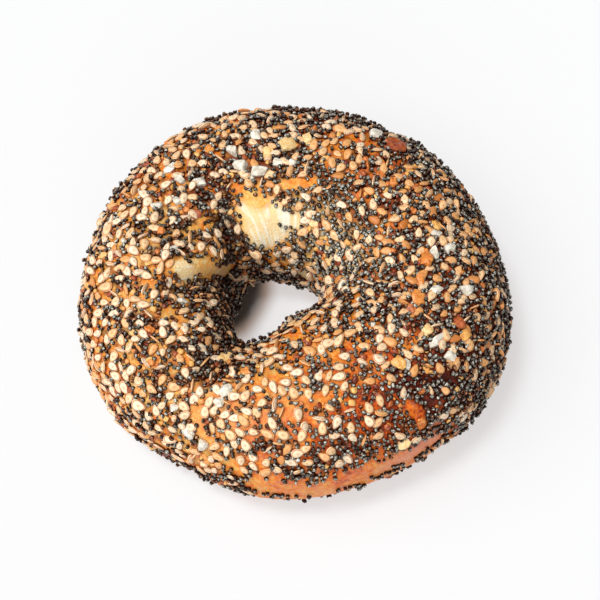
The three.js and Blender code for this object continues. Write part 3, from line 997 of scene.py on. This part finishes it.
# %% Shader helpers
class Value:
    """A socket of a material's node, with Python's operators."""

    def __init__(self, finish, socket):
        self.finish, self.socket = finish, socket

    def maths(self, operation, *values):
        return self.finish.node("ShaderNodeMath", {"operation": operation}, dict(enumerate(values)))

    def __add__(self, other):
        return self.maths("ADD", self, other)

    def __sub__(self, other):
        return self.maths("SUBTRACT", self, other)

    def __rsub__(self, other):
        return self.maths("SUBTRACT", other, self)

    def __mul__(self, other):
        return self.maths("MULTIPLY", self, other)

    def __truediv__(self, other):
        return self.maths("DIVIDE", self, other)

    def __pow__(self, other):
        return self.maths("POWER", self, other)

    __radd__ = __add__
    __rmul__ = __mul__


class Finish:
    """One material, and the one way to add nodes to it."""

    def __init__(self, name):
        self.material = bpy.data.materials.new(name)
        self.material.use_nodes = True
        self.material.node_tree.nodes.clear()

    def node(self, kind, settings=None, inputs=None, output=0):
        made = self.material.node_tree.nodes.new(kind)
        for name, value in (settings or {}).items():
            if name == "stops":
                set_stops(made.color_ramp, value)
            else:
                setattr(made, name, value)
        for key, value in (inputs or {}).items():
            if isinstance(value, Value):
                self.material.node_tree.links.new(value.socket, made.inputs[key])
            else:
                made.inputs[key].default_value = value
        return Value(self, made.outputs[output]) if len(made.outputs) else None

    def own(self, name, output="Fac"):
        """A number that the mesh keeps for each corner."""
        return self.node("ShaderNodeAttribute", {"attribute_name": name}, output=output)

    def noise(self, size_mm, detail=2, roughness=0.5):
        """Noise on the piece itself, its lumps this many millimetres wide."""
        place = self.node("ShaderNodeTexCoord", output="Object")
        inputs = {"Vector": place, "Scale": 1 / (size_mm * MM), "Detail": detail, "Roughness": roughness}
        return self.node("ShaderNodeTexNoise", inputs=inputs)

    def ramp(self, value, stops):
        return self.node("ShaderNodeValToRGB", {"stops": stops}, {0: value})

    def mix(self, factor, first, second):
        return self.node("ShaderNodeMix", {"data_type": "RGBA"}, {0: factor, 6: first, 7: second}, output=2)

    def step(self, value, low, high):
        inputs = {"Value": value, "From Min": low, "From Max": high}
        return self.node("ShaderNodeMapRange", {"interpolation_type": "SMOOTHSTEP"}, inputs)

    def bump(self, height, depth_mm):
        return self.node("ShaderNodeBump", inputs={"Height": height, "Distance": depth_mm * MM})

    def surface(self, **inputs):
        sockets = {name.replace("_", " "): value for name, value in inputs.items()}
        shader = self.node("ShaderNodeBsdfPrincipled", inputs=sockets)
        self.node("ShaderNodeOutputMaterial", inputs={"Surface": shader})
        return self.material


def set_stops(ramp, stops):
    while len(ramp.elements) < len(stops):
        ramp.elements.new(1)
    for element, (position, colour) in zip(ramp.elements, stops):
        element.position, element.color = position, colour


LIGHT_OVER_WHITE = 1.25  # how much more light falls on the bagel than makes a white card white


def photo_colour(red, green, blue):
    """A colour as the photo shows it, from 0 to 255, as the linear colour of the surface."""
    parts = np.array([red, green, blue]) / 255
    linear = np.where(parts <= 0.04045, parts / 12.92, ((parts + 0.055) / 1.055) ** 2.4) / LIGHT_OVER_WHITE
    return (*linear.tolist(), 1.0)


print("cream is", [round(part, 3) for part in photo_colour(250, 225, 165)])

# %% [markdown]
# ## Finish of the crust
# The crust's colour is mostly how far it is baked, from cream over gold and orange to a
# dark red-brown, so one ramp holds those colours and the baked number picks from it; that
# number also carries painted shade in two creases by the pale patch. Fine noise breaks it
# up. The pale patch has its own cream with whiter streaks along the stretch marks, the
# lower right side has a rose tint, and the skin between the seeds is darkened with painted
# shade, partly oil. It all has a soft shine from the boiling.

# %% Crust
CRUST_STOPS = [
    (0.0, photo_colour(253, 228, 172)),
    (0.25, photo_colour(251, 194, 100)),
    (0.48, photo_colour(250, 144, 36)),
    (0.68, photo_colour(232, 100, 20)),
    (0.84, photo_colour(160, 54, 14)),
    (1.0, photo_colour(74, 20, 9)),
]
CREAM = photo_colour(255, 226, 170)
WHITE_STREAK = photo_colour(255, 253, 236)
ROSE = photo_colour(246, 158, 122)
PEACH = photo_colour(252, 190, 138)
GAP_SHADE_AND_OIL = photo_colour(104, 26, 3)


def crust_finish():
    finish = Finish("crust")
    speckle = finish.noise(0.9, detail=3) - 0.5
    cloud = finish.noise(2.6, detail=2) - 0.5
    baked = finish.ramp(finish.own("bake") + speckle * 0.75 + cloud * 0.5, CRUST_STOPS)
    streaks = finish.step(finish.own("marks") + speckle * 0.6, -0.25, 0.4)
    cream = finish.mix(streaks * 0.9, CREAM, WHITE_STREAK)
    pale = finish.step(finish.own("pale") + speckle * 0.5 + cloud * 0.4, 0.15, 0.9)
    colour = finish.mix(pale, baked, cream)
    peach = finish.step(finish.noise(1.3, detail=2), 0.5, 0.6) * finish.step(finish.own("bake"), 0.85, 0.6)
    colour = finish.mix(peach * (1.0 - finish.own("pale")) * 0.26, colour, PEACH)
    colour = finish.mix(finish.own("rose") * 0.75, colour, ROSE)
    # painted shade between the seeds, partly oil
    colour = finish.mix(finish.own("crowd") * 0.9, colour, GAP_SHADE_AND_OIL)
    wrinkles = finish.noise(0.55, detail=4, roughness=0.6)
    return finish.surface(
        Base_Color=colour,
        Roughness=0.42 + (finish.noise(1.6) - 0.5) * 0.2,
        Normal=finish.bump(wrinkles, 0.3),
        Specular_IOR_Level=0.25,
        Subsurface_Weight=0.12,
        Subsurface_Radius=(1.0, 0.5, 0.2),
        Subsurface_Scale=0.0012,
    )


dough_mesh.materials.append(crust_finish())
print("the crust has", len(CRUST_STOPS), "colours from pale to burnt")

# %% [markdown]
# ## Finish of the seeds
# A hulled sesame seed is cream with a pale rim and a thin darker line inside it, and turns
# golden where the oven was hotter. The line follows the seed's own outline, so it is
# worked out from where a point lies within its seed. Its sides and underside get painted
# shade. Poppy seeds carry a fine net of lighter ridges and painted highlight specks over a
# slate or black body, and painted shade on their low flanks.

# %% Sesame and poppy
SESAME_STOPS = [
    (0.0, photo_colour(255, 236, 206)),
    (0.35, photo_colour(252, 214, 166)),
    (0.65, photo_colour(243, 180, 112)),
    (1.0, photo_colour(206, 122, 50)),
]
SESAME_LINE = photo_colour(210, 126, 60)
SESAME_SIDE_SHADE = photo_colour(212, 116, 48)
POPPY_COLOURS = {  # body, and the colour of the ridges and of the painted highlight specks
    "poppy_grey": (photo_colour(104, 102, 92), photo_colour(250, 250, 240)),
    "poppy_slate": (photo_colour(72, 62, 52), photo_colour(226, 228, 218)),
    "poppy_black": (photo_colour(36, 14, 6), photo_colour(156, 146, 134)),
    "poppy_brown": (photo_colour(98, 42, 16), photo_colour(220, 172, 130)),
}
POPPY_FLANK_SHADE = photo_colour(42, 8, 1)  # painted shade on the low flanks of each seed, where it sits among the others
POPPY_CELL = 0.3  # width of a mesh of the net


def sesame_finish():
    finish = Finish("sesame")
    spot = finish.own("inside", output="Vector")
    along = finish.node("ShaderNodeSeparateXYZ", inputs={0: spot}, output=0)
    side = finish.node("ShaderNodeSeparateXYZ", inputs={0: spot}, output=1)
    outline = (along * along + (side / (1 - along * 0.32)) ** 2.0) ** 0.5
    line = finish.step(outline, 0.7, 0.8) * finish.step(outline, 0.94, 0.86)
    heart = finish.step(outline, 0.3, 0.12)
    # painted shade on the sides and underside of each seed, which gives it a dark outline
    edge = finish.step(finish.own("top"), 0.1, -0.5)
    body = finish.ramp(finish.own("toast") + (finish.noise(0.8) - 0.5) * 0.25, SESAME_STOPS)
    colour = finish.mix(line * 0.8 + heart * 0.5, body, SESAME_LINE)
    colour = finish.mix(edge * 0.75, colour, SESAME_SIDE_SHADE)
    return finish.surface(
        Base_Color=colour,
        Roughness=0.45,
        Normal=finish.bump(finish.noise(0.25, detail=1), 0.03),
        Subsurface_Weight=0.15,
        Subsurface_Radius=(1.0, 0.6, 0.3),
        Subsurface_Scale=0.0006,
    )


def poppy_finish(name):
    finish = Finish(name)
    body, ridge_and_glint = POPPY_COLOURS[name]
    place = finish.node("ShaderNodeTexCoord", output="Object")
    inputs = {"Vector": place, "Scale": 1 / (POPPY_CELL * MM)}
    net = finish.node("ShaderNodeTexVoronoi", {"feature": "DISTANCE_TO_EDGE"}, inputs)
    ridges = finish.step(net, 0.16, 0.04)
    top = finish.own("top")
    # painted highlight specks, a few more towards the top of each seed
    painted_glints = finish.step(finish.noise(0.38, detail=1) + top * 0.1, 0.58, 0.64)
    colour = finish.mix((ridges * 0.14 + painted_glints * 0.86) * (1.0 - finish.own("tint") * 0.5), body, ridge_and_glint)
    # painted shade on each seed's low flanks, so each keeps a lighter cap
    colour = finish.mix(finish.step(top, 0.75, 0.1), colour, POPPY_FLANK_SHADE)
    return finish.surface(Base_Color=colour, Roughness=0.42, Specular_IOR_Level=0.18)


sesame.data.materials.append(sesame_finish())
for piece in poppies:
    piece.data.materials.append(poppy_finish(piece.name))
print("finishes of the seeds", [piece.active_material.name for piece in (sesame, *poppies)])

# %% [markdown]
# ## Finish of the salt, onion and garlic
# Salt crystals are cloudy: light goes in, is scattered and comes out again, so they look
# greyish white with soft inner clouds. Dried onion and garlic are horny and slightly
# clear, amber at thin edges and red-brown where toasted.

# %% Salt and flakes
SALT_CLEAR = photo_colour(213, 206, 190)
SALT_CLOUD = photo_colour(252, 247, 236)
FLAKE_STOPS = [
    (0.0, photo_colour(255, 226, 170)),
    (0.3, photo_colour(250, 194, 112)),
    (0.6, photo_colour(232, 140, 62)),
    (0.85, photo_colour(168, 78, 44)),
    (1.0, photo_colour(108, 40, 24)),
]


def salt_finish():
    finish = Finish("salt")
    cloud = finish.step(finish.noise(0.9, detail=3), 0.35, 0.65)
    return finish.surface(
        Base_Color=finish.mix(cloud, SALT_CLEAR, SALT_CLOUD),
        Roughness=0.22,
        Normal=finish.bump(finish.noise(1.2, detail=1), 0.05),
        Subsurface_Weight=0.4,
        Subsurface_Radius=(1.0, 1.0, 1.0),
        Subsurface_Scale=0.0006,
    )


def flake_finish():
    finish = Finish("flake")
    grain = finish.noise(0.7, detail=3) - 0.5
    return finish.surface(
        Base_Color=finish.ramp(finish.own("toast") + grain * 0.6, FLAKE_STOPS),
        Roughness=0.38,
        Normal=finish.bump(finish.noise(0.45, detail=3), 0.1),
        Subsurface_Weight=0.2,
        Subsurface_Radius=(1.0, 0.45, 0.15),
        Subsurface_Scale=0.001,
    )


salt.data.materials.append(salt_finish())
salt.data.shade_flat()
flake_material = flake_finish()
for piece in (flakes, crumbs):
    piece.data.materials.append(flake_material)
print("finishes of the rest", [piece.active_material.name for piece in (salt, flakes, crumbs)])

# %% [markdown]
# ## Light and floor
# The photo was taken on a white table under a large soft light from the left. The table
# is so bright that it is nearly paper white, and only close to the bagel, mostly on the
# right, a soft shadow is left. A faint white surround and three suns do the same: a broad
# one and a smaller, crisper one from the left, and a low broad one from the front. Light
# alone would leave the table grey, so it also glows, and the glow fades to a painted
# shadow deep in the hole.

# %% Light and floor
SURROUND = 0.21
SUN_COLOUR = (1.0, 0.965, 0.91)
SUNS = {
    # strength, how wide it looks, how far it leans from straight above, and from where round
    # the bagel it shines, from +X, all in degrees
    "soft_light": (2.02, 60, 35, 192),
    "small_light": (1.85, 15, 16, 188),
    "front_light": (1.1, 60, 62, 268),
}
TABLE_HALF = 1.5  # metres
TABLE_COLOUR = (0.252, 0.28, 0.305, 1.0)
TABLE_GLOW = 0.605
HOLE_SHADOW_PLACE = (-0.024, 0.0115, 0)  # the middle of the painted shadow deep in the hole, in metres
HOLE_SHADOW_EDGE = (0.0133, 0.0208)  # metres from it, where the glow starts and where it is full
# the glow goes from none in the painted shadow, over a warm brown at its edge, to white
GLOW_STOPS = [(0.0, (0.0, 0.0, 0.0, 1.0)), (0.4, (0.4, 0.29, 0.23, 1.0)), (1.0, (0.965, 0.925, 0.915, 1.0))]

world = bpy.data.worlds.new("surround")
world.use_nodes = True
background = world.node_tree.nodes["Background"]
background.inputs["Color"].default_value = (1.0, 1.0, 1.0, 1.0)
background.inputs["Strength"].default_value = SURROUND
bpy.context.scene.world = world
bpy.context.scene.view_settings.view_transform = "Standard"

for name, (strength, width, tilt, source) in SUNS.items():
    sun = add_object(name, bpy.data.lights.new(name, "SUN"))
    sun.data.energy = strength
    sun.data.angle = math.radians(width)
    sun.data.color = SUN_COLOUR
    sun.rotation_euler = (0, math.radians(tilt), math.radians(source))

grid = bmesh.new()
bmesh.ops.create_grid(grid, x_segments=1, y_segments=1, size=TABLE_HALF)
table_mesh = bpy.data.meshes.new("table")
grid.to_mesh(table_mesh)
grid.free()
floor = add_object("table", table_mesh)

table = Finish("table")
place = table.node("ShaderNodeTexCoord", output="Object")
# the glow fades out towards the painted shadow in the hole
away = table.node("ShaderNodeVectorMath", {"operation": "DISTANCE"}, {0: place, 1: HOLE_SHADOW_PLACE}, output="Value")
glow = table.ramp(table.step(away, *HOLE_SHADOW_EDGE), GLOW_STOPS)
table.surface(Base_Color=TABLE_COLOUR, Roughness=0.8, Emission_Color=glow, Emission_Strength=TABLE_GLOW)
table_mesh.materials.append(table.material)
print("lights:", list(SUNS))

# %% [markdown]
# ## The bagel's one body
# Every piece rides on the bagel's one body, and the slot that each stands for is printed.
# The fine dough stands for the solid ring, which is hidden.

# %% Attach the pieces
for slot, pieces in {
    "crust": [dough], "salt": [salt], "flake": [flakes, crumbs], "sesame": [sesame], "poppy": poppies
}.items():
    for piece in pieces:
        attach(piece, "root")
        print(piece.name, "has", len(piece.data.polygons), "faces and the slot", slot)
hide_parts("bagel")
